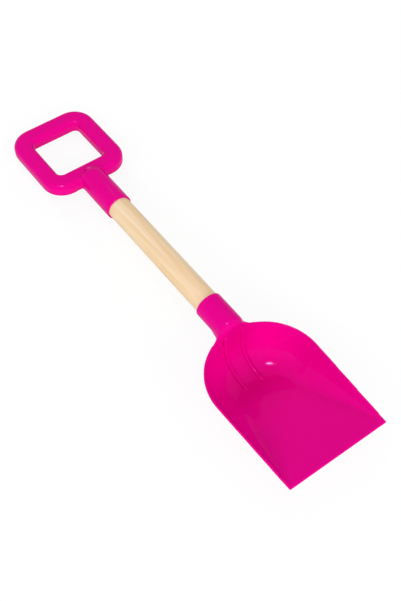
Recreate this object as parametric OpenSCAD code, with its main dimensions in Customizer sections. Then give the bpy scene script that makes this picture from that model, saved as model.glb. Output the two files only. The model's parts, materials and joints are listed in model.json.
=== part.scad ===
// Sand shovel: a moulded loop grip and a moulded scoop on a wooden dowel.
// It lies on the ground on the heel of the scoop and the back of the grip.

/* [Shaft] */
// Diameter of the wooden dowel
shaft_d = 20; // [18:0.5:22]
// Length of dowel that shows between the two sockets
shaft_show = 122.7; // [90:0.1:300]
// Depth of the dowel in the grip's socket
grip_seat = 33; // [24:0.5:36]
// Depth of the dowel in the scoop's socket
scoop_seat = 18; // [14:0.5:18.5]
// Bevel round each sawn end
shaft_bevel = 1; // [0.4:0.1:2]

/* [Sockets] */
// Wall of both sockets
socket_wall = 1.45; // [1.2:0.05:2]
// Radial room between the dowel and a socket
socket_gap = 0.05; // [0.02:0.01:0.15]
// Bevel round the mouth of a socket
mouth_bevel = 0.4; // [0.2:0.1:0.6]

/* [Grip] */
// Length of the loop along the shaft
loop_l = 81.4; // [70:0.2:100]
// Width of the loop across the shaft
loop_w = 76; // [66:0.5:90]
// Width of the two bars across the shaft
cross_bar_w = 17.2; // [14:0.2:20]
// Width of the two bars along the shaft
side_bar_w = 15.5; // [13:0.2:18]
// Thickness of the loop
loop_t = 10.7; // [9:0.1:13]
// Height of the loop's front above the middle of the shaft
loop_front_z = 6.2; // [5:0.1:8]
// Outer corner radius of the loop
loop_corner_r = 19; // [14:0.5:24]
// Corner radius of the finger gap
gap_corner_r = 4.5; // [3:0.1:8]
// Rounding along the front edges of the bars
bar_crown_r = 5; // [3:0.1:5.5]
// Rounding along the back edges of the bars
bar_back_r = 1; // [0.6:0.1:1.5]
// Wall of the bars, which are open at the back
bar_wall = 2.4; // [1.8:0.1:3]
// Free length of the grip's socket, from its mouth to the loop
grip_neck_l = 39.6; // [34:0.2:50]
// Length over which the socket's end slopes down into the loop
grip_slope_l = 13; // [10:0.5:15]

/* [Scoop] */
// Distance from the socket's mouth to the middle of the round back
back_centre_l = 72.5; // [66:0.5:80]
// Distance from the socket's mouth to the tip
scoop_l = 152.8; // [140:0.2:180]
// Width of the scoop at the shoulders
scoop_w = 93.8; // [84:0.2:104]
// Width of the scoop at the tip
tip_w = 89.2; // [80:0.2:100]
// Depth of the rim below the middle of the shaft, at the round back's middle
rim_drop = 6.1; // [5:0.1:8]
// Depth of the rim below the middle of the shaft, at the tip
tip_drop = 8.6; // [7:0.1:11]
// Thickness of the wall and floor
scoop_wall = 1.8; // [1.5:0.1:2.4]
// Angle between the floor and the shaft
floor_angle = 17; // [15:0.5:19]
// Radius of the round between the floor and the walls, inside
heel_r = 22; // [19:0.5:23]
// Radius of the ring that this round follows at the back
heel_ring_r = 19.7; // [17:0.1:21]

/* [Neck] */
// Distance from the socket's mouth to where its sides start to spread
neck_start_l = 13.5; // [11:0.5:15]
// Distance from the socket's mouth to where the spread sides meet the rim
neck_root_l = 28; // [27:0.5:28.5]
// Distance from the socket's mouth to its round end, inside the scoop
neck_nose_l = 33; // [32.5:0.5:34]
// Rounding of the socket's end
neck_nose_r = 4.5; // [3:0.5:6]
// Width of the spread sides where they meet the rim
neck_root_w = 25.4; // [24:0.2:27]
// Radius in which the rim sweeps up to the socket
rim_sweep_r = 10.6; // [10:0.1:12]
// Distance from the middle at which the rim starts to sweep up
rim_sweep_y = 21.5; // [20.5:0.1:22]
// Width of the tongue down the back wall, between the middles of its ribs
tongue_w = 15.4; // [12:0.2:17]
// Height of the tongue above the round of the heel
tongue_rise = 0.9; // [0.6:0.1:1.4]
// Radius of the ribs beside the tongue
rib_r = 1.5; // [1.2:0.1:1.8]
// Depth by which the ribs sink towards their feet on the floor
rib_fade = 0.9; // [0.6:0.1:1.2]

/* [Fixing screws] */
// Diameter of the screws
screw_d = 3; // [2.5:0.1:3.5]
// Length of the screws under the head
screw_l = 12; // [10:0.5:14]
// Length of the screws' points
screw_point_l = 3; // [2:0.5:4]
// Diameter of the heads
screw_head_d = 6; // [5.4:0.2:7]
// Height of the heads
screw_head_h = 1.7; // [1.4:0.1:2.2]
// Bevel round the heads
screw_head_bevel = 0.6; // [0.3:0.1:0.8]
// Depth of the flat that a head sits on
screw_seat_depth = 0.4; // [0.3:0.05:0.5]
// Length of the cross recess in a head
recess_l = 3.4; // [2.8:0.1:4]
// Width of the cross recess
recess_w = 0.8; // [0.6:0.1:1]
// Depth of the cross recess
recess_depth = 0.9; // [0.6:0.1:1]
// Radial room round a screw
screw_gap = 0.05; // [0.02:0.01:0.1]

/* [Hidden] */

plastic_colour = [0.87, 0.02, 0.5];
wood_colour = [0.93, 0.82, 0.64];
steel_colour = [0.72, 0.72, 0.73];

round_facets = 96;
hull_facets = 64;
tube_facets = 48;
arc_step = 5;
quarter = 90;
half_turn = 180;
overrun = 2;
weld = 0.6;

shaft_r = shaft_d / 2;
socket_r = shaft_r + socket_wall;
bore_r = shaft_r + socket_gap;
grip_mouth_x = -shaft_show / 2;
scoop_mouth_x = shaft_show / 2;

// loop of the grip
loop_near_x = grip_mouth_x - grip_neck_l;
loop_far_x = loop_near_x - loop_l;
loop_mid_x = (loop_near_x + loop_far_x) / 2;
loop_back_z = loop_front_z - loop_t;
gap_l = loop_l - 2 * cross_bar_w;
gap_w = loop_w - 2 * side_bar_w;

// rim plane and floor of the scoop
back_x = scoop_mouth_x + back_centre_l;
tip_x = scoop_mouth_x + scoop_l;
rim_angle = atan2(tip_drop - rim_drop, tip_x - back_x);
rim_run = (tip_x - back_x) / cos(rim_angle);
floor_z_back = -tip_drop - (tip_x - back_x) * tan(floor_angle);
heel_z = floor_z_back + heel_r / cos(floor_angle);
heel_out_r = heel_r + scoop_wall * cos(rim_angle + floor_angle);
heel_x = back_x - heel_ring_r * cos(floor_angle);
heel_back_z = heel_z - heel_ring_r * sin(floor_angle);

// neck and tongue
neck_start_x = scoop_mouth_x + neck_start_l;
neck_root_x = scoop_mouth_x + neck_root_l;
spread_share = 0.83;
sweep_share = 0.7;
sweep_angle = asin(2 * rim_sweep_y / scoop_w);
foot_angle = half_turn + quarter + floor_angle;
embed_angle = half_turn + floor_angle;
tongue_r = heel_r - tongue_rise;
tongue_x = heel_x - tongue_r;
tongue_top_z = -rim_drop / 2;
embed_r = heel_r + scoop_wall / 2;

// screws
screw_r = screw_d / 2;
screw_under_z = -(socket_r - screw_seat_depth);
seat_share = 0.5;
screw_xs = [grip_mouth_x - grip_seat * seat_share, scoop_mouth_x + scoop_seat * seat_share];

// slope of the ground under the heel and the far edge of the grip, along the shaft
edge_x = loop_far_x + bar_back_r;
edge_z = loop_back_z + bar_back_r;
span = norm([heel_x - edge_x, heel_back_z - edge_z]);
rest_angle = asin((heel_out_r - bar_back_r) / span) - atan2(heel_back_z - edge_z, heel_x - edge_x);
rest_lift = heel_out_r - heel_x * sin(rest_angle) - heel_back_z * cos(rest_angle);
tip_low = [tip_x - scoop_wall * sin(rim_angle), -tip_drop - scoop_wall * cos(rim_angle)];
rest_max_x = tip_low[0] * cos(rest_angle) - tip_low[1] * sin(rest_angle);
crown_x = loop_far_x + bar_crown_r;
crown_z = loop_front_z - bar_crown_r;
rest_min_x = crown_x * cos(rest_angle) - crown_z * sin(rest_angle) - bar_crown_r;

// lays the shovel on the ground, with the middle of its box over the origin
module at_rest() {
    translate([-(rest_max_x + rest_min_x) / 2, 0, rest_lift])
        rotate([0, -rest_angle, 0])
            children();
}

// turns a shape built along Z to lie along the shaft
module along_shaft(x) {
    translate([x, 0, 0])
        rotate([0, quarter, 0])
            children();
}

module at_screws() {
    for (x = screw_xs)
        translate([x, 0, 0])
            children();
}

// room for a screw's shank and the flat under its head
module screw_room() {
    at_screws() {
        translate([0, 0, screw_under_z])
            cylinder(r = screw_r + screw_gap, h = screw_l + screw_gap, $fn = tube_facets);
        translate([0, 0, screw_under_z - screw_head_h - overrun])
            cylinder(d = screw_head_d + 2 * screw_gap, h = screw_head_h + overrun, $fn = tube_facets);
    }
}

// room for the dowel's end in a socket, mouth at the origin, running along Z
module dowel_room(depth) {
    rotate_extrude($fn = round_facets)
        polygon([
            [0, -overrun],
            [bore_r, -overrun],
            [bore_r, depth - shaft_bevel],
            [bore_r - shaft_bevel, depth],
            [0, depth]
        ]);
}

// outside of a socket, mouth at the origin, running along Z
module socket_body(length) {
    rotate_extrude($fn = round_facets)
        polygon([
            [0, 0],
            [socket_r - mouth_bevel, 0],
            [socket_r, mouth_bevel],
            [socket_r, length],
            [0, length]
        ]);
}

module rounded_plan(l, w, r) {
    square([l, w - 2 * r], center = true);
    square([l - 2 * r, w], center = true);
    for (sx = [-1, 1], sy = [-1, 1])
        translate([sx * (l / 2 - r), sy * (w / 2 - r)])
            circle(r, $fn = round_facets);
}

// sweeps a section round a rounded rectangle: X of the section points away from its middle
module round_the_loop(l, w, r) {
    for (turn = [0 : 3]) {
        across = turn % 2 == 0 ? l : w;
        run = (turn % 2 == 0 ? w : l) - 2 * r;
        rotate([0, 0, turn * quarter])
            translate([across / 2, 0, 0])
                rotate([quarter, 0, 0])
                    linear_extrude(run, center = true)
                        children();
        rotate([0, 0, turn * quarter])
            translate([across / 2 - r, run / 2, 0])
                rotate_extrude(angle = quarter, $fn = round_facets)
                    translate([r, 0])
                        children();
    }
}

// section of a bar's edge: side is 1 for the outer edge, -1 for the edge of the finger gap
module bar_edge(side) {
    mirror([side > 0 ? 0 : 1, 0])
        difference() {
            translate([-bar_crown_r - weld, loop_back_z])
                square([bar_crown_r + weld, loop_t]);
            translate([-bar_crown_r, loop_front_z - bar_crown_r])
                difference() {
                    square(bar_crown_r + overrun);
                    circle(bar_crown_r, $fn = round_facets);
                }
            translate([-bar_back_r, loop_back_z + bar_back_r])
                mirror([0, 1])
                    difference() {
                        square(bar_back_r + overrun);
                        circle(bar_back_r, $fn = tube_facets);
                    }
        }
}

module loop() {
    translate([loop_mid_x, 0, 0])
        difference() {
            union() {
                round_the_loop(loop_l, loop_w, loop_corner_r)
                    bar_edge(1);
                round_the_loop(gap_l, gap_w, gap_corner_r)
                    bar_edge(-1);
                translate([0, 0, loop_back_z])
                    linear_extrude(loop_t)
                        bar_band(bar_crown_r);
            }
            translate([0, 0, loop_back_z - overrun])
                linear_extrude(loop_t - bar_wall + overrun)
                    bar_band(bar_wall);
        }
}

// plan of the bars, drawn in from all their edges
module bar_band(inset) {
    difference() {
        rounded_plan(loop_l - 2 * inset, loop_w - 2 * inset, loop_corner_r - inset);
        rounded_plan(gap_l + 2 * inset, gap_w + 2 * inset, gap_corner_r + inset);
    }
}

// solid end of the grip's socket, sloping down into the near bar
module grip_slope() {
    low_w = 2 * socket_r - 2 * bar_crown_r;
    hull() {
        along_shaft(loop_near_x - weld)
            cylinder(r = socket_r, h = weld, $fn = hull_facets);
        translate([loop_near_x - grip_slope_l, -low_w / 2, loop_back_z])
            cube([weld, low_w, loop_t]);
    }
}

module grip() {
    at_rest()
        color(plastic_colour)
            difference() {
                union() {
                    loop();
                    grip_slope();
                    mirror([1, 0, 0])
                        along_shaft(-grip_mouth_x)
                            socket_body(grip_neck_l + weld);
                }
                mirror([1, 0, 0])
                    along_shaft(-grip_mouth_x)
                        dowel_room(grip_seat);
                screw_room();
            }
}

module shaft() {
    length = shaft_show + grip_seat + scoop_seat;
    at_rest()
        color(wood_colour)
            difference() {
                along_shaft(grip_mouth_x - grip_seat)
                    rotate_extrude($fn = round_facets)
                        polygon([
                            [0, 0],
                            [shaft_r - shaft_bevel, 0],
                            [shaft_r, shaft_bevel],
                            [shaft_r, length - shaft_bevel],
                            [shaft_r - shaft_bevel, length],
                            [0, length]
                        ]);
                screw_room();
            }
}

// D-shaped plate on the rim plane: round back, sides closing a little to a straight tip
module rim_plate(inset, up, down) {
    translate([back_x, 0, -rim_drop])
        rotate([0, rim_angle, 0])
            translate([0, 0, -down])
                linear_extrude(up + down)
                    hull() {
                        circle(scoop_w / 2 - inset, $fn = round_facets);
                        translate([rim_run - weld, inset - tip_w / 2])
                            square([weld, tip_w - 2 * inset]);
                    }
}

// half ring lying on the floor, of which the lower outer quarter rounds the heel
module heel_ring(r) {
    translate([back_x, 0, heel_z])
        rotate([0, -floor_angle, 0])
            rotate([0, 0, quarter])
                rotate_extrude(angle = half_turn, $fn = hull_facets)
                    translate([heel_ring_r, 0])
                        intersection() {
                            circle(r, $fn = tube_facets);
                            translate([0, -r])
                                square(r);
                        }
}

module bowl() {
    difference() {
        hull() {
            rim_plate(0, 0, scoop_wall);
            heel_ring(heel_out_r);
        }
        hull() {
            rim_plate(scoop_wall, overrun, 0);
            heel_ring(heel_r);
        }
    }
}

// the socket's outside, run in over the rim to a rounded end
module neck() {
    straight_l = neck_nose_l - neck_nose_r;
    along_shaft(scoop_mouth_x) {
        socket_body(straight_l);
        translate([0, 0, straight_l - weld])
            rotate_extrude($fn = round_facets)
                intersection() {
                    union() {
                        square([socket_r - neck_nose_r, neck_nose_r + weld]);
                        square([socket_r, weld]);
                        translate([socket_r - neck_nose_r, weld])
                            circle(neck_nose_r, $fn = round_facets);
                    }
                    square([socket_r, neck_nose_r + weld]);
                }
    }
}

// oval slice through the lower half of the socket
module neck_slice(x, w) {
    translate([x, 0, -socket_r / 2])
        scale([1, w / socket_r, 1])
            along_shaft(0)
                cylinder(r = socket_r / 2, h = weld, $fn = hull_facets);
}

// low sides of the socket, spreading to the rim
module neck_sides() {
    hull() {
        neck_slice(neck_start_x, 2 * socket_r * spread_share);
        neck_slice(neck_root_x - weld, neck_root_w);
    }
}

// strip of the back wall that rises beside the socket
module rim_sweep() {
    difference() {
        translate([back_x, 0, -rim_drop])
            rotate([0, rim_angle, 0])
                rotate([0, 0, half_turn - sweep_angle])
                    rotate_extrude(angle = 2 * sweep_angle, $fn = round_facets)
                        translate([(scoop_w - scoop_wall * (1 + sweep_share)) / 2, -scoop_wall / 2])
                            square([scoop_wall * sweep_share, scoop_wall / 2 + rim_drop]);
        for (side = [-1, 1])
            translate([neck_start_x, side * rim_sweep_y, rim_sweep_r - rim_drop + scoop_w / 2 * sin(rim_angle)])
                along_shaft(0)
                    cylinder(r = rim_sweep_r, h = neck_root_l, $fn = round_facets);
    }
}

function heel_point(r, a) = [heel_x + r * cos(a), heel_back_z + r * sin(a)];

// raised band from the neck down the back wall, running out where the heel meets the floor
module tongue() {
    face = [for (a = [half_turn : arc_step : foot_angle]) heel_point(tongue_r, a)];
    root = [for (a = [foot_angle : -arc_step : embed_angle]) heel_point(embed_r, a)];
    top = [
        [heel_x - heel_out_r, heel_back_z],
        [back_x - scoop_w / 2 + scoop_wall, tongue_top_z],
        [tongue_x, tongue_top_z]
    ];
    rotate([quarter, 0, 0])
        linear_extrude(tongue_w, center = true)
            polygon(concat(face, root, top));
}

// keeps a rib's root inside the thickness of the heel
module in_the_heel() {
    intersection() {
        children();
        rotate([quarter, 0, 0])
            cylinder(r = embed_r, h = 2 * rib_r + overrun, center = true, $fn = round_facets);
    }
}

// round beads along the tongue's two edges, from the socket's end to the floor
module tongue_ribs() {
    for (side = [-1, 1])
        translate([heel_x, side * tongue_w / 2, heel_back_z]) {
            in_the_heel()
                translate([rib_fade, 0, 0])
                    rotate([quarter, 0, 0])
                        rotate([0, 0, half_turn])
                            rotate_extrude(angle = foot_angle - half_turn, $fn = round_facets)
                                translate([tongue_r + rib_fade, 0])
                                    circle(rib_r, $fn = tube_facets);
            in_the_heel()
                translate([rib_fade, 0, 0])
                    rotate([0, half_turn - foot_angle, 0])
                        translate([-tongue_r - rib_fade, 0, 0])
                            sphere(rib_r, $fn = tube_facets);
            translate([-tongue_r, 0, 0]) {
                cylinder(r = rib_r, h = -heel_back_z, $fn = tube_facets);
                translate([0, 0, -heel_back_z])
                    sphere(rib_r, $fn = tube_facets);
            }
        }
}

module scoop() {
    at_rest()
        color(plastic_colour)
            difference() {
                union() {
                    bowl();
                    rim_sweep();
                    neck();
                    neck_sides();
                    tongue();
                    tongue_ribs();
                }
                along_shaft(scoop_mouth_x)
                    dowel_room(scoop_seat);
                screw_room();
            }
}

module fixing_screws() {
    at_rest()
        color(steel_colour)
            at_screws()
                translate([0, 0, screw_under_z])
                    difference() {
                        rotate_extrude($fn = tube_facets)
                            polygon([
                                [0, -screw_head_h],
                                [screw_head_d / 2 - screw_head_bevel, -screw_head_h],
                                [screw_head_d / 2, screw_head_bevel - screw_head_h],
                                [screw_head_d / 2, 0],
                                [screw_r, 0],
                                [screw_r, screw_l - screw_point_l],
                                [0, screw_l]
                            ]);
                        for (turn = [0, 1])
                            rotate([0, 0, turn * quarter])
                                translate([-recess_l / 2, -recess_w / 2, -screw_head_h - overrun])
                                    cube([recess_l, recess_w, recess_depth + overrun]);
                    }
}

grip();
shaft();
scoop();
fixing_screws();
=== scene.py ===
import json
import math

import bmesh
import bpy
from mathutils import Matrix, Vector


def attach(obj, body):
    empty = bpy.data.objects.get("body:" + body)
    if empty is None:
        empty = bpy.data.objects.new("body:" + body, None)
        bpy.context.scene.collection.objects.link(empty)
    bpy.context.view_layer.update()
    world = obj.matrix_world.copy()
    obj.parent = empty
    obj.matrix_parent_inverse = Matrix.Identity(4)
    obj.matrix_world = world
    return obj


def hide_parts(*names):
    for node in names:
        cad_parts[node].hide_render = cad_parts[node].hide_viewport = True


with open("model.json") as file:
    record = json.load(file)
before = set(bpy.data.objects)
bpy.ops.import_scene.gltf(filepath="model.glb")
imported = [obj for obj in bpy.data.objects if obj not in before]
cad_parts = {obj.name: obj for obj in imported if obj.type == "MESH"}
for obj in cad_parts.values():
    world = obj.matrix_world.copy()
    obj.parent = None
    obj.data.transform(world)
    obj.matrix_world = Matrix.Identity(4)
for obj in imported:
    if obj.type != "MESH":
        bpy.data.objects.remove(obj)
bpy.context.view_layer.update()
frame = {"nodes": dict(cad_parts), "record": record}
scene = bpy.context.scene
scene.view_settings.view_transform = "Standard"
print("frame loaded:", sorted(frame["nodes"]))

mm = 0.001
weldGap = 0.001 * mm
quarter = math.pi / 2
wholeTurn = 2 * math.pi
xAxis = Vector((1, 0, 0))
yAxis = Vector((0, 1, 0))
zAxis = Vector((0, 0, 1))

# the shovel is modelled along X with the middle of the bare dowel at zero,
# then laid on the ground with the frame
shaftMount = next(m for m in frame["record"]["mounts"] if m["name"] == "shaft_clip")
shaftAxis = Vector(shaftMount["axis"])
shaftTilt = math.atan2(shaftAxis.z, shaftAxis.x)
layDown = Matrix.Translation(shaftMount["pos_m"]) @ Matrix.Rotation(-shaftTilt, 4, "Y")


def mix(a, b, share):
    return a + (b - a) * share


def easeInOut(share):
    return share * share * (3 - 2 * share)


def shares(steps):  # even steps from 0 to 1
    return [step / steps for step in range(steps + 1)]


def skin(rows, columns, pointAt):  # a unit grid whose rows and columns are laid on a surface
    half = 0.5
    bm = bmesh.new()
    for v in bmesh.ops.create_grid(bm, x_segments=rows, y_segments=columns, size=half)["verts"]:
        row = round((v.co.x + half) * rows)
        column = round((v.co.y + half) * columns)
        v.co = pointAt(row, column) * mm
    return bm


def closeUp(bm):  # seams and poles are welded, open ends are capped
    bmesh.ops.remove_doubles(bm, verts=bm.verts, dist=weldGap)
    bmesh.ops.dissolve_degenerate(bm, edges=bm.edges, dist=weldGap)
    bmesh.ops.holes_fill(bm, edges=[e for e in bm.edges if e.is_boundary], sides=0)
    bmesh.ops.recalc_face_normals(bm, faces=bm.faces)


def addSkins(whole, parts):  # each part is a closed skin of its own
    scratch = bpy.data.meshes.new("part")
    for part in parts:
        closeUp(part)
        part.to_mesh(scratch)
        part.free()
        whole.from_mesh(scratch)
    bpy.data.meshes.remove(scratch)


def inZone(spot, zone):  # a zone has bounds along the shaft, aside of it and in height, or none
    reach = {"x": spot.x, "aside": abs(spot.y), "z": spot.z}
    return all(low <= reach[way] < high for way, (low, high) in zone.items())


def fuse(bm, name, moulding):  # one skin round all the parts, softened where they run into each other
    mesh = bpy.data.meshes.new(name + "Rough")
    bm.to_mesh(mesh)
    rough = bpy.data.objects.new(name + "Rough", mesh)
    scene.collection.objects.link(rough)
    remesh = rough.modifiers.new("fuse", "REMESH")
    remesh.mode = "VOXEL"
    remesh.voxel_size = moulding["voxel"] * mm
    evaluated = rough.evaluated_get(bpy.context.evaluated_depsgraph_get())
    fused = bpy.data.meshes.new_from_object(evaluated)
    bm.clear()
    bm.from_mesh(fused)
    bpy.data.objects.remove(rough)
    bpy.data.meshes.remove(mesh)
    bpy.data.meshes.remove(fused)
    for passes, zone in moulding["soften"]:
        chosen = [v for v in bm.verts if inZone(v.co / mm, zone)]
        for step in range(passes):
            bmesh.ops.smooth_vert(bm, verts=chosen, factor=moulding["pull"],
                                  use_axis_x=True, use_axis_y=True, use_axis_z=True)


def finishPiece(parts, name, node, material, moulding=None, crisp=()):
    whole = bmesh.new()
    addSkins(whole, parts)
    if moulding:
        fuse(whole, name, moulding)
    addSkins(whole, crisp)  # fine forms stay as they are drawn
    bmesh.ops.transform(whole, matrix=layDown, verts=whole.verts)
    mesh = bpy.data.meshes.new(name)
    whole.to_mesh(mesh)
    whole.free()
    mesh.shade_smooth()
    piece = bpy.data.objects.new(name, mesh)
    scene.collection.objects.link(piece)
    mesh.materials.append(material)
    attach(piece, "root")
    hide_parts(node)
    print("made", name, len(mesh.polygons), "faces")


def linear(hexColour):  # sRGB hex to linear colour
    channels = [int(hexColour[i:i + 2], 16) / 255 for i in (1, 3, 5)]
    return [c / 12.92 if c <= 0.04045 else ((c + 0.055) / 1.055) ** 2.4 for c in channels] + [1]


def emptyTree(owner):
    owner.use_nodes = True
    owner.node_tree.nodes.clear()
    return owner.node_tree


def addNode(tree, kind, inputs=None, **settings):  # an input that is a socket is linked, a value is set
    node = tree.nodes.new(kind)
    for key, value in settings.items():
        setattr(node, key, value)
    for key, value in (inputs or {}).items():
        if isinstance(value, bpy.types.NodeSocket):
            tree.links.new(value, node.inputs[key])
        else:
            node.inputs[key].default_value = value
    return node


# where a Mix node set to colour takes its two colours and gives the result
mixLow = 6
mixHigh = 7
mixOut = 2

# polypropylene, injection moulded and glossy: a saturated pink with a faint ripple from the mould
plasticLook = {
    "colour": "#dc0085", "deep": "#d60081", "cloudMm": 30, "cloudDetail": 3,
    "rippleMm": 3, "rippleDetail": 2, "rippleStrength": 0.05, "rippleDeepMm": 0.2,
    "roughness": 0.06, "uneven": 0.02, "ior": 1.49, "shine": 0.08,
}


def makePlastic():
    look = plasticLook
    material = bpy.data.materials.new("glossyPolypropylene")
    tree = emptyTree(material)
    place = addNode(tree, "ShaderNodeTexCoord").outputs["Object"]
    clouds = addNode(tree, "ShaderNodeTexNoise", {
        "Vector": place, "Scale": 1 / (look["cloudMm"] * mm), "Detail": look["cloudDetail"]})
    tint = addNode(tree, "ShaderNodeMix", {
        "Factor": clouds.outputs["Fac"], mixLow: linear(look["deep"]), mixHigh: linear(look["colour"])},
        data_type="RGBA")
    ripple = addNode(tree, "ShaderNodeTexNoise", {
        "Vector": place, "Scale": 1 / (look["rippleMm"] * mm), "Detail": look["rippleDetail"]})
    bump = addNode(tree, "ShaderNodeBump", {
        "Height": ripple.outputs["Fac"],
        "Strength": look["rippleStrength"], "Distance": look["rippleDeepMm"] * mm})
    rough = addNode(tree, "ShaderNodeMapRange", {
        "Value": clouds.outputs["Fac"],
        "To Min": look["roughness"] - look["uneven"], "To Max": look["roughness"] + look["uneven"]})
    shader = addNode(tree, "ShaderNodeBsdfPrincipled", {
        "Base Color": tint.outputs[mixOut], "Roughness": rough.outputs["Result"],
        "Normal": bump.outputs["Normal"], "IOR": look["ior"], "Specular IOR Level": look["shine"]})
    addNode(tree, "ShaderNodeOutputMaterial", {"Surface": shader.outputs["BSDF"]})
    return material


# pale turned hardwood, sanded smooth and lightly varnished: straight grain along the dowel,
# drawn coarser than life so that it shows
woodLook = {
    "light": "#e8d2b3", "dark": "#dfb982", "grainMm": 3.2, "streakMm": 70, "grainDetail": 5,
    "turn": 1.4,  # radians about the dowel
    "bandLow": 0.3, "bandHigh": 0.75, "bumpStrength": 0.1, "bumpDeepMm": 0.1,
    "roughness": 0.45, "ior": 1.5,
}


def makeWood():
    look = woodLook
    material = bpy.data.materials.new("paleHardwood")
    tree = emptyTree(material)
    place = addNode(tree, "ShaderNodeTexCoord").outputs["Object"]
    along = addNode(tree, "ShaderNodeMapping", {"Vector": place, "Rotation": (0, shaftTilt, 0)})
    stretch = addNode(tree, "ShaderNodeMapping", {
        "Vector": along.outputs["Vector"],
        "Scale": (look["grainMm"] / look["streakMm"], 1, 1), "Rotation": (look["turn"], 0, 0)})
    grain = addNode(tree, "ShaderNodeTexNoise", {
        "Vector": stretch.outputs["Vector"],
        "Scale": 1 / (look["grainMm"] * mm), "Detail": look["grainDetail"]})
    bands = addNode(tree, "ShaderNodeMapRange", {
        "Value": grain.outputs["Fac"], "From Min": look["bandLow"], "From Max": look["bandHigh"]})
    tint = addNode(tree, "ShaderNodeMix", {
        "Factor": bands.outputs["Result"], mixLow: linear(look["light"]), mixHigh: linear(look["dark"])},
        data_type="RGBA")
    bump = addNode(tree, "ShaderNodeBump", {
        "Height": grain.outputs["Fac"],
        "Strength": look["bumpStrength"], "Distance": look["bumpDeepMm"] * mm})
    shader = addNode(tree, "ShaderNodeBsdfPrincipled", {
        "Base Color": tint.outputs[mixOut], "Roughness": look["roughness"],
        "Normal": bump.outputs["Normal"], "IOR": look["ior"]})
    addNode(tree, "ShaderNodeOutputMaterial", {"Surface": shader.outputs["BSDF"]})
    return material


# zinc-plated steel: a soft metal shine, a little uneven
steelLook = {"colour": "#c3c4c6", "grainMm": 0.4, "grainDetail": 2, "roughness": 0.35, "uneven": 0.08}


def makeSteel():
    look = steelLook
    material = bpy.data.materials.new("zincPlatedSteel")
    tree = emptyTree(material)
    place = addNode(tree, "ShaderNodeTexCoord").outputs["Object"]
    speck = addNode(tree, "ShaderNodeTexNoise", {
        "Vector": place, "Scale": 1 / (look["grainMm"] * mm), "Detail": look["grainDetail"]})
    rough = addNode(tree, "ShaderNodeMapRange", {
        "Value": speck.outputs["Fac"],
        "To Min": look["roughness"] - look["uneven"], "To Max": look["roughness"] + look["uneven"]})
    shader = addNode(tree, "ShaderNodeBsdfPrincipled", {
        "Base Color": linear(look["colour"]), "Metallic": 1, "Roughness": rough.outputs["Result"]})
    addNode(tree, "ShaderNodeOutputMaterial", {"Surface": shader.outputs["BSDF"]})
    return material


plastic = makePlastic()
wood = makeWood()
steel = makeSteel()
print("materials made")

# the sockets of both mouldings; sizes in mm, along the shaft from the middle of the bare dowel
socket = {"radius": 11.45, "bore": 10.05, "lip": 0.4, "lipSteps": 4, "boreShow": 6, "sides": 96}


def roundRow(x, halfWide, middle, up, down):  # one cross-section of a socket or neck
    return {"x": x, "halfWide": halfWide, "middle": middle, "up": up, "down": down}


def ringRow(x, radius):
    return roundRow(x, radius, 0, radius, radius)


def rowPoint(row, angle):
    rise = row["up"] if math.sin(angle) > 0 else row["down"]
    return Vector((row["x"], row["halfWide"] * math.cos(angle), row["middle"] + rise * math.sin(angle)))


def skinRows(rows, sides):
    return skin(len(rows) - 1, sides, lambda i, j: rowPoint(rows[i], wholeTurn * (j % sides) / sides))


def mouthRows(startX, inward):  # bore, flat mouth and the rounded start of a socket's outside
    lip = socket["lip"]
    bore = socket["bore"]
    rows = [
        ringRow(startX + inward * socket["boreShow"], bore),
        ringRow(startX + inward * lip / 2, bore),
        ringRow(startX, bore + lip / 2),
    ]
    for share in shares(socket["lipSteps"]):
        along = lip * (1 - math.cos(quarter * share))
        drawnIn = lip * (1 - math.sin(quarter * share))
        rows.append(ringRow(startX + inward * along, socket["radius"] - drawnIn))
    return rows


# the dowel, bevelled at its sawn ends
dowel = {"radius": 10, "show": 122.7, "gripSeat": 33, "scoopSeat": 18, "bevel": 1, "sides": 96, "steps": 48}


def makeDowel():
    low = -dowel["show"] / 2 - dowel["gripSeat"]
    high = dowel["show"] / 2 + dowel["scoopSeat"]
    radius = dowel["radius"]
    bevel = dowel["bevel"]
    rows = [ringRow(low, 0), ringRow(low, radius - bevel)]
    for share in shares(dowel["steps"]):
        rows.append(ringRow(mix(low + bevel, high - bevel, share), radius))
    rows += [ringRow(high, radius - bevel), ringRow(high, 0)]
    return skinRows(rows, dowel["sides"])


finishPiece([makeDowel()], "dowelShaft", "shaft", wood)

# the scoop: a D-shaped bowl on a tilted rim, with a rounded heel and a flat floor that runs out to the tip
mouthX = dowel["show"] / 2
scoop = {
    "backX": mouthX + 72.5, "tipX": mouthX + 152.8, "wide": 93.8, "tipWide": 89.2,
    "rimDrop": 6.1, "tipDrop": 8.6, "wall": 1.8, "floorAngle": 17, "heelRadius": 22, "ringRadius": 19.7,
    "riseHigh": 6.5, "riseNear": 11.45, "riseFar": 20.5, "risePower": 1.3,
    "sideSteps": 40, "backSteps": 96, "tipSteps": 4,
    "wallSteps": 8, "heelSteps": 20, "floorSteps": 5, "lipSteps": 8,
}
sideLong = scoop["tipX"] - scoop["backX"]
floorTilt = math.radians(scoop["floorAngle"])
rimTilt = math.atan2(scoop["tipDrop"] - scoop["rimDrop"], sideLong)
floorAlong = Vector((math.cos(floorTilt), 0, math.sin(floorTilt)))
floorUp = Vector((-math.sin(floorTilt), 0, math.cos(floorTilt)))
rimAlong = Vector((math.cos(rimTilt), 0, -math.sin(rimTilt)))
rimUp = Vector((math.sin(rimTilt), 0, math.cos(rimTilt)))
rimMiddle = Vector((scoop["backX"], 0, -scoop["rimDrop"]))
tipMiddle = Vector((scoop["tipX"], 0, -scoop["tipDrop"]))
floorMiddle = Vector((scoop["backX"], 0, -scoop["tipDrop"] - sideLong * math.tan(floorTilt)))
heelMiddle = floorMiddle + zAxis * (scoop["heelRadius"] / math.cos(floorTilt))
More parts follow.
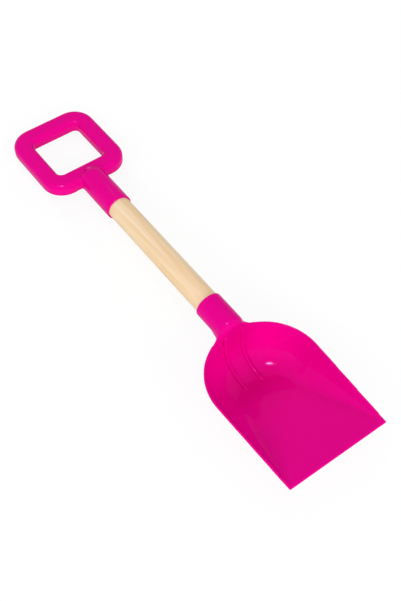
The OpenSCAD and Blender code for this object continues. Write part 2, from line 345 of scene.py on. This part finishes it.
outerHeel = scoop["heelRadius"] + scoop["wall"] * math.cos(rimTilt + floorTilt)
lipRadius = scoop["wall"] / 2


def fanOut(along, angle):  # outward at an angle round the bowl's back, in the rim's or the floor's plane
    return along * math.cos(angle) + yAxis * math.sin(angle)


def rimRise(angle):  # beside the socket the rim sweeps up to meet it
    if math.cos(angle) >= 0:
        return 0
    aside = abs(math.sin(angle)) * scoop["wide"] / 2
    share = (scoop["riseFar"] - aside) / (scoop["riseFar"] - scoop["riseNear"])
    return scoop["riseHigh"] * min(1, max(0, share)) ** scoop["risePower"]


def wallRun(angle, rimRadius, heelRadius):  # from the lip down the wall, round the heel and along the floor
    ringOut = fanOut(floorAlong, angle)
    top = rimMiddle + fanOut(rimAlong, angle) * rimRadius + rimUp * (rimRise(angle) - lipRadius)
    ring = heelMiddle + ringOut * scoop["ringRadius"]
    middle = heelMiddle - floorUp * heelRadius
    across = (top - ring).dot(ringOut)
    above = (top - ring).dot(floorUp)
    lean = math.atan2(above, across) - math.acos(min(1, heelRadius / math.hypot(across, above)))

    def onHeel(turn):
        return ring + (ringOut * math.cos(turn) + floorUp * math.sin(turn)) * heelRadius

    wall = [top.lerp(onHeel(lean), share) for share in shares(scoop["wallSteps"])[:-1]]
    heel = [onHeel(mix(lean, -quarter, share)) for share in shares(scoop["heelSteps"])[:-1]]
    floor = [onHeel(-quarter).lerp(middle, share) for share in shares(scoop["floorSteps"])]
    return wall + heel + floor


def lipRun(middle, out, up):  # half round over the wall's top, from the outside in
    turns = [math.pi * share for share in shares(scoop["lipSteps"])[1:-1]]
    return [middle + (out * math.cos(turn) + up * math.sin(turn)) * lipRadius for turn in turns]


def backSection(angle):
    outerRadius = scoop["wide"] / 2
    rimOut = fanOut(rimAlong, angle)
    lipMiddle = rimMiddle + rimOut * (outerRadius - lipRadius) + rimUp * (rimRise(angle) - lipRadius)
    outside = wallRun(angle, outerRadius, outerHeel)
    inside = wallRun(angle, outerRadius - scoop["wall"], scoop["heelRadius"])
    return outside[::-1] + lipRun(lipMiddle, rimOut, rimUp) + inside


def tipSection(side):  # the same points drawn together at a corner of the tip, the floor's spread along it
    outerHalf = scoop["tipWide"] / 2
    innerHalf = outerHalf - scoop["wall"]
    collapsed = scoop["wallSteps"] + scoop["heelSteps"]
    spread = [1 - share for share in shares(scoop["floorSteps"])]

    def corner(half):
        return tipMiddle - rimAlong * lipRadius + yAxis * side * half

    inside = [corner(innerHalf)] * collapsed + [corner(innerHalf * share) for share in spread]
    outside = [corner(outerHalf) - rimUp * lipRadius] * collapsed
    outside += [corner(outerHalf * share) - rimUp * scoop["wall"] for share in spread]
    lip = lipRun(corner(outerHalf - lipRadius) - rimUp * lipRadius, yAxis * side, rimUp)
    return outside[::-1] + lip + inside


def bowlSections():  # from the tip along one side, round the back and along the other side to the tip
    halves = []
    for side in (1, -1):
        tip = tipSection(side)
        back = backSection(quarter * side)
        middles = [(p + q) / 2 for p, q in zip(tip, tip[::-1])]
        half = []
        for share in shares(scoop["tipSteps"])[:-1]:  # the tip's edge is rounded over
            turn = quarter * (1 - share)
            ahead = rimAlong * lipRadius * math.sin(turn)
            half.append([mix(m, p, math.cos(turn)) + ahead for m, p in zip(middles, tip)])
        for share in shares(scoop["sideSteps"])[:-1]:
            half.append([p.lerp(q, share) for p, q in zip(tip, back)])
        halves.append(half)
    around = [backSection(mix(quarter, 3 * quarter, share)) for share in shares(scoop["backSteps"])]
    return halves[0] + around + halves[1][::-1]


def makeBowl():
    sections = bowlSections()
    return skin(len(sections) - 1, len(sections[0]) - 1, lambda i, j: sections[i][j])


# the socket runs in over the rim to a rounded end, then down the back wall as a tongue between two ribs
neck = {
    "noseX": mouthX + 32.6, "noseRound": 4.5, "noseLong": 6.5, "tubeSteps": 12, "roundSteps": 24,
    "coreSink": 0.1,
    "collarX": mouthX + 13.5, "collarRootX": mouthX + 28, "collarZ": -5, "collarUp": 5,
    "collarStartWide": 19, "collarWide": 25.4, "collarPower": 1.2, "collarSteps": 12,
    "tongueTop": -3, "tongueWide": 15.4, "tongueRise": 0.9, "tongueFade": 0.8,
    "tongueRoot": 0.8,  # share of the wall
    "ribTop": 1, "ribRadius": 1.9, "ribSink": 0.1, "ribFade": 0.9,
    "ribRoot": 0.7,  # share of the rib's radius
    "downSteps": 16, "heelSteps": 40, "endSteps": 4, "ribSides": 20,
}
heelX = heelMiddle.x - scoop["ringRadius"] * math.cos(floorTilt)
heelZ = heelMiddle.z - scoop["ringRadius"] * math.sin(floorTilt)
footTurn = quarter + floorTilt


def noseRows(startX, radius):  # along the tube and over its rounded end
    noseStart = neck["noseX"] - neck["noseLong"]
    rows = [ringRow(mix(startX, noseStart, share), radius) for share in shares(neck["tubeSteps"])[1:-1]]
    for share in shares(neck["roundSteps"]):
        along = neck["noseLong"] * math.sin(quarter * share)
        drawnIn = neck["noseRound"] * (1 - math.cos(quarter * share))
        rows.append(ringRow(noseStart + along, radius - drawnIn))
    return rows


def makeNeck():
    rows = mouthRows(mouthX, 1) + noseRows(mouthX + socket["lip"], socket["radius"])
    return skinRows(rows, socket["sides"])


def makeNeckCore():  # a hair thinner than the neck, for the rim and the wall to run into
    rows = noseRows(mouthX + socket["boreShow"], socket["radius"] - neck["coreSink"])
    return skinRows(rows, socket["sides"])


def makeCollar():  # low on the socket's sides, where it spreads into the rim
    rows = []
    for share in shares(neck["collarSteps"]):
        x = mix(neck["collarX"], neck["collarRootX"], share)
        wide = mix(neck["collarStartWide"], neck["collarWide"], share ** neck["collarPower"])
        down = socket["radius"] + neck["collarZ"]
        rows.append(roundRow(x, wide / 2, neck["collarZ"], neck["collarUp"], down))
    return skinRows(rows, socket["sides"])


def heelPath(sink, fade, topZ):  # down the back wall and round the heel, sinking into the floor at its foot
    radius = scoop["heelRadius"] - neck["tongueRise"] + sink
    path = []
    for share in shares(neck["downSteps"])[:-1]:
        path.append((Vector((heelX - radius, 0, mix(topZ, heelZ, share))), xAxis))
    for share in shares(neck["heelSteps"]):
        turn = math.pi + footTurn * share
        away = Vector((math.cos(turn), 0, math.sin(turn)))
        path.append((Vector((heelX + fade, 0, heelZ)) + away * (radius + fade), -away))
    return path


def makeRib(side):
    path = heelPath(neck["ribSink"], neck["ribFade"], neck["ribTop"])
    sides = neck["ribSides"]
    last = len(path) - 1

    def at(i, j):
        middle, out = path[i]
        angle = wholeTurn * (j % sides) / sides
        toEnd = min(i, last - i) / neck["endSteps"]
        radius = neck["ribRadius"] * math.sqrt(1 - max(0, 1 - toEnd) ** 2)  # both ends are rounded
        aside = side * neck["tongueWide"] / 2 + radius * math.cos(angle)
        rise = radius * math.sin(angle) * (1 if math.sin(angle) > 0 else neck["ribRoot"])
        return middle + yAxis * aside + out * rise

    return skin(last, sides, at)


def makeTongue():  # a band whose sides slope back into the wall
    path = heelPath(0, neck["tongueFade"], neck["tongueTop"])
    half = neck["tongueWide"] / 2
    wallX = scoop["backX"] - scoop["wide"] / 2 + lipRadius
    corners = ((-1, 0), (1, 0), (1, 1), (-1, 1))  # to which side, and whether at the back

    def at(i, j):
        middle, out = path[i]
        depth = scoop["wall"] * neck["tongueRoot"]
        if i < neck["downSteps"]:
            down = min(1, max(0, middle.z / heelZ))
            depth += max(middle.x - mix(wallX, heelX - scoop["heelRadius"], down), 0)
        side, back = corners[j % len(corners)]
        return middle + yAxis * side * (half + back * depth) - out * back * depth

    return skin(len(path) - 1, len(corners), at)


# passes of softening and where each is done: everywhere, on the tongue, and beside the neck's end
scoopMoulding = {
    "voxel": 0.7, "pull": 0.5,
    "soften": [
        (3, {}),
        (5, {"x": (mouthX, neck["noseX"] + 30), "aside": (0, 12), "z": (-60, neck["ribTop"])}),
        (24, {"x": (neck["noseX"] - 11, neck["noseX"] + 7), "aside": (5, 19), "z": (-16, 5)}),
    ],
}
scoopParts = [makeBowl(), makeNeckCore(), makeCollar(), makeTongue()]
scoopCrisp = [makeNeck(), makeRib(1), makeRib(-1)]
finishPiece(scoopParts, "scoopShell", "scoop", plastic, scoopMoulding, scoopCrisp)

# the grip: a rounded-square loop of crowned bars, open at the back, on a socket that slopes down into it
grip = {
    "mouthX": -dowel["show"] / 2, "neckLong": 39.6, "loopLong": 81.4, "loopWide": 76,
    "crossBar": 17.2, "sideBar": 15.5, "thick": 10.7, "frontZ": 6.2,
    "corner": 19, "gapCorner": 4.5, "crown": 5, "backRound": 1, "wall": 2.4,
    "slopeLong": 13, "slopeSink": 0.3, "slopeRaise": 0.5,
    "cornerSteps": 16, "straightSteps": 8, "backSteps": 3, "crownSteps": 10, "topSteps": 6, "slopeSteps": 20,
}
loopNearX = grip["mouthX"] - grip["neckLong"]
loopMiddleX = loopNearX - grip["loopLong"] / 2
backZ = grip["frontZ"] - grip["thick"]


def loopOutline(long, wide, corner, inset):  # rounded rectangle, with as many points for any size
    radius = corner - inset
    toMiddleX = long / 2 - inset - radius
    toMiddleY = wide / 2 - inset - radius
    signs = ((1, 1), (-1, 1), (-1, -1), (1, -1))

    def onCorner(turn, share):
        signX, signY = signs[turn % len(signs)]
        angle = quarter * (turn + share)
        away = Vector((math.cos(angle), math.sin(angle), 0))
        return Vector((signX * toMiddleX, signY * toMiddleY, 0)) + away * radius

    points = []
    for turn in range(len(signs)):
        points += [onCorner(turn, share) for share in shares(grip["cornerSteps"])]
        start = points[-1]
        end = onCorner(turn + 1, 0)
        points += [start.lerp(end, share) for share in shares(grip["straightSteps"])[1:-1]]
    return points


def outerOutline(inset):
    return loopOutline(grip["loopLong"], grip["loopWide"], grip["corner"], inset)


def gapOutline(inset):
    gapLong = grip["loopLong"] - 2 * grip["crossBar"]
    gapWide = grip["loopWide"] - 2 * grip["sideBar"]
    return loopOutline(gapLong, gapWide, grip["gapCorner"], -inset)


def edgeRings(outline):  # from the back edge up the side and over the crown
    backRound = grip["backRound"]
    crown = grip["crown"]
    rings = []
    for share in shares(grip["backSteps"]):
        drawnIn = backRound * (1 - math.sin(quarter * share))
        rings.append((outline(drawnIn), backZ + backRound * (1 - math.cos(quarter * share))))
    for share in shares(grip["crownSteps"]):
        drawnIn = crown * (1 - math.cos(quarter * share))
        rings.append((outline(drawnIn), grip["frontZ"] - crown + crown * math.sin(quarter * share)))
    return rings


def makeLoop():
    front = grip["frontZ"]
    wall = grip["wall"]
    outside = edgeRings(outerOutline)
    inside = edgeRings(gapOutline)
    top = []
    for share in shares(grip["topSteps"])[1:-1]:
        top.append(([p.lerp(q, share) for p, q in zip(outside[-1][0], inside[-1][0])], front))
    channel = [
        (gapOutline(wall), backZ), (gapOutline(wall), front - wall),
        (outerOutline(wall), front - wall), (outerOutline(wall), backZ),
    ]
    rings = outside + top + inside[::-1] + channel
    around = len(rings[0][0])
    across = len(rings)

    def at(i, j):
        outline, z = rings[j % across]
        spot = outline[i % around]
        return Vector((loopMiddleX + spot.x, spot.y, z))

    return skin(around, across, at)


def makeGripSocket():
    rows = mouthRows(grip["mouthX"], -1)
    radius = socket["radius"]
    for share in shares(grip["slopeSteps"]):
        x = loopNearX - grip["slopeLong"] * share
        halfWide = mix(radius, radius - grip["crown"], share * share)
        up = mix(radius, grip["frontZ"] - grip["slopeSink"], easeInOut(share))
        down = mix(radius, -backZ - grip["slopeRaise"], share)
        rows.append(roundRow(x, halfWide, 0, up, down))
    return skinRows(rows, socket["sides"])


# passes of softening and where each is done: everywhere, and where the socket runs into the loop
gripMoulding = {
    "voxel": 0.5, "pull": 0.5,
    "soften": [
        (4, {}),
        (14, {"x": (loopNearX - 16, loopNearX + 8), "aside": (0, 17.175)}),
    ],
}
finishPiece([makeLoop(), makeGripSocket()], "loopGrip", "grip", plastic, gripMoulding)

screws = frame["nodes"]["fixing_screws"]
screws.data.materials.clear()
screws.data.materials.append(steel)
print("screws given their steel")


def seenStraight(tree, rays):  # 1 where the camera sees it straight or through something clear, else 0
    seen = addNode(tree, "ShaderNodeMath", {
        0: rays.outputs["Is Camera Ray"], 1: rays.outputs["Is Transmission Ray"]}, operation="MAXIMUM")
    return seen.outputs[0]


# white ground that keeps a soft shadow, a little dimmer in reflections; half its width is in metres
ground = {"half": 40, "colour": "#f4f4f4", "light": "#ffffff", "glow": 0.88, "mirrored": 0.6}


def makeGround():
    bm = bmesh.new()
    bmesh.ops.create_grid(bm, x_segments=1, y_segments=1, size=ground["half"])
    mesh = bpy.data.meshes.new("ground")
    bm.to_mesh(mesh)
    bm.free()
    material = bpy.data.materials.new("whitePaper")
    tree = emptyTree(material)
    light = linear(ground["light"])
    rays = addNode(tree, "ShaderNodeLightPath")
    share = addNode(tree, "ShaderNodeMath", {
        0: seenStraight(tree, rays), 1: ground["glow"]}, operation="MULTIPLY")
    paper = addNode(tree, "ShaderNodeBsdfDiffuse", {"Color": linear(ground["colour"])})
    white = addNode(tree, "ShaderNodeEmission", {"Color": light, "Strength": 1})
    lit = addNode(tree, "ShaderNodeMixShader", {
        0: share.outputs[0], 1: paper.outputs[0], 2: white.outputs[0]})
    dim = addNode(tree, "ShaderNodeEmission", {"Color": light, "Strength": ground["mirrored"]})
    both = addNode(tree, "ShaderNodeMixShader", {
        0: rays.outputs["Is Glossy Ray"], 1: lit.outputs[0], 2: dim.outputs[0]})
    addNode(tree, "ShaderNodeOutputMaterial", {"Surface": both.outputs[0]})
    mesh.materials.append(material)
    floor = bpy.data.objects.new("ground", mesh)
    scene.collection.objects.link(floor)


makeGround()
print("ground laid")

# a pale dome, soft lamps above and on each side, and small lamps that are seen only as glints;
# places and sizes in metres, all aimed at the shovel
studio = {
    "dome": "#ffffff", "domeStrength": 0.315, "backdrop": 0.91, "aim": (0.05, 0, 0.02),
    "soft": {
        "softTop": {"spot": (0.1, -0.2, 1.5), "size": 2.0, "watts": 3.2},
        "softKey": {"spot": (1.1, -0.7, 1.0), "size": 0.8, "watts": 5.7},
        "softFront": {"spot": (1.5, 0, 0.7), "size": 0.8, "watts": 12.5},
        "softNear": {"spot": (0.1, -1.3, 0.8), "size": 0.8, "watts": 9.2},
        "softFar": {"spot": (0.1, 1.3, 0.8), "size": 0.8, "watts": 5.8},
        "softBack": {"spot": (-1.3, 0, 0.9), "size": 0.8, "watts": 6.5},
    },
    "glints": {
        "glint": {"spot": (0.0, -0.33, 1.0), "size": 0.26, "sizeAcross": 0.09, "turn": 54,
                  "watts": 11, "colour": "#d0a8ff"},
        "glintCore": {"spot": (0.0, -0.33, 1.0), "size": 0.05, "watts": 10, "colour": "#d0a8ff"},
        "backGlint": {"spot": (-1.05, 0.46, 0.94), "size": 0.03, "watts": 0.06},
    },
}


def makeDome():
    world = bpy.data.worlds.new("studioDome")
    scene.world = world
    tree = emptyTree(world)
    rays = addNode(tree, "ShaderNodeLightPath")
    level = addNode(tree, "ShaderNodeMapRange", {
        "Value": seenStraight(tree, rays),
        "To Min": studio["domeStrength"], "To Max": studio["backdrop"]})
    dome = addNode(tree, "ShaderNodeBackground", {
        "Color": linear(studio["dome"]), "Strength": level.outputs["Result"]})
    addNode(tree, "ShaderNodeOutputWorld", {"Surface": dome.outputs[0]})


def makeLamp(name, lamp, isGlint):
    light = bpy.data.lights.new(name, "AREA")
    light.shape = "ELLIPSE"
    light.size = lamp["size"]
    light.size_y = lamp.get("sizeAcross", lamp["size"])
    light.energy = lamp["watts"]
    light.color = linear(lamp.get("colour", studio["dome"]))[:3]
    holder = bpy.data.objects.new(name, light)
    holder.location = lamp["spot"]
    away = (Vector(lamp["spot"]) - Vector(studio["aim"])).to_track_quat("Z", "Y").to_matrix()
    turn = Matrix.Rotation(math.radians(lamp.get("turn", 0)), 3, "Z")
    holder.rotation_euler = (away @ turn).to_euler()
    holder.visible_glossy = isGlint
    holder.visible_diffuse = not isGlint
    if isGlint:
        light.cycles.max_bounces = 0  # a glint is not mirrored a second time
    scene.collection.objects.link(holder)


makeDome()
for name, lamp in studio["soft"].items():
    makeLamp(name, lamp, False)
for name, lamp in studio["glints"].items():
    makeLamp(name, lamp, True)
print("studio lit")

# the camera stands beside the scoop and looks down at the shovel, as the photograph does;
# lengths in mm, angles in degrees, the focal length and the image's height in pixels
view = {
    "spot": (402.15, -258.1, 581.7), "azimuth": -36.3337, "elevation": 53.4489,
    "focalPx": 947.071, "imageHigh": 601, "film": 36, "near": 10, "far": 20000,
}


def makeCamera():
    data = bpy.data.cameras.new("photoCamera")
    data.sensor_fit = "VERTICAL"
    data.sensor_height = view["film"]
    data.lens = view["focalPx"] / view["imageHigh"] * view["film"]
    data.clip_start = view["near"] * mm
    data.clip_end = view["far"] * mm
    camera = bpy.data.objects.new("photoCamera", data)
    turn = math.radians(view["azimuth"])
    lift = math.radians(view["elevation"])
    back = Vector((math.cos(lift) * math.cos(turn), math.cos(lift) * math.sin(turn), math.sin(lift)))
    right = zAxis.cross(back).normalized()
    up = back.cross(right)
    frameOfView = Matrix((right, up, back)).transposed().to_4x4()
    frameOfView.translation = Vector(view["spot"]) * mm
    camera.matrix_world = layDown @ frameOfView
    scene.collection.objects.link(camera)
    scene.camera = camera


makeCamera()
print("camera set")
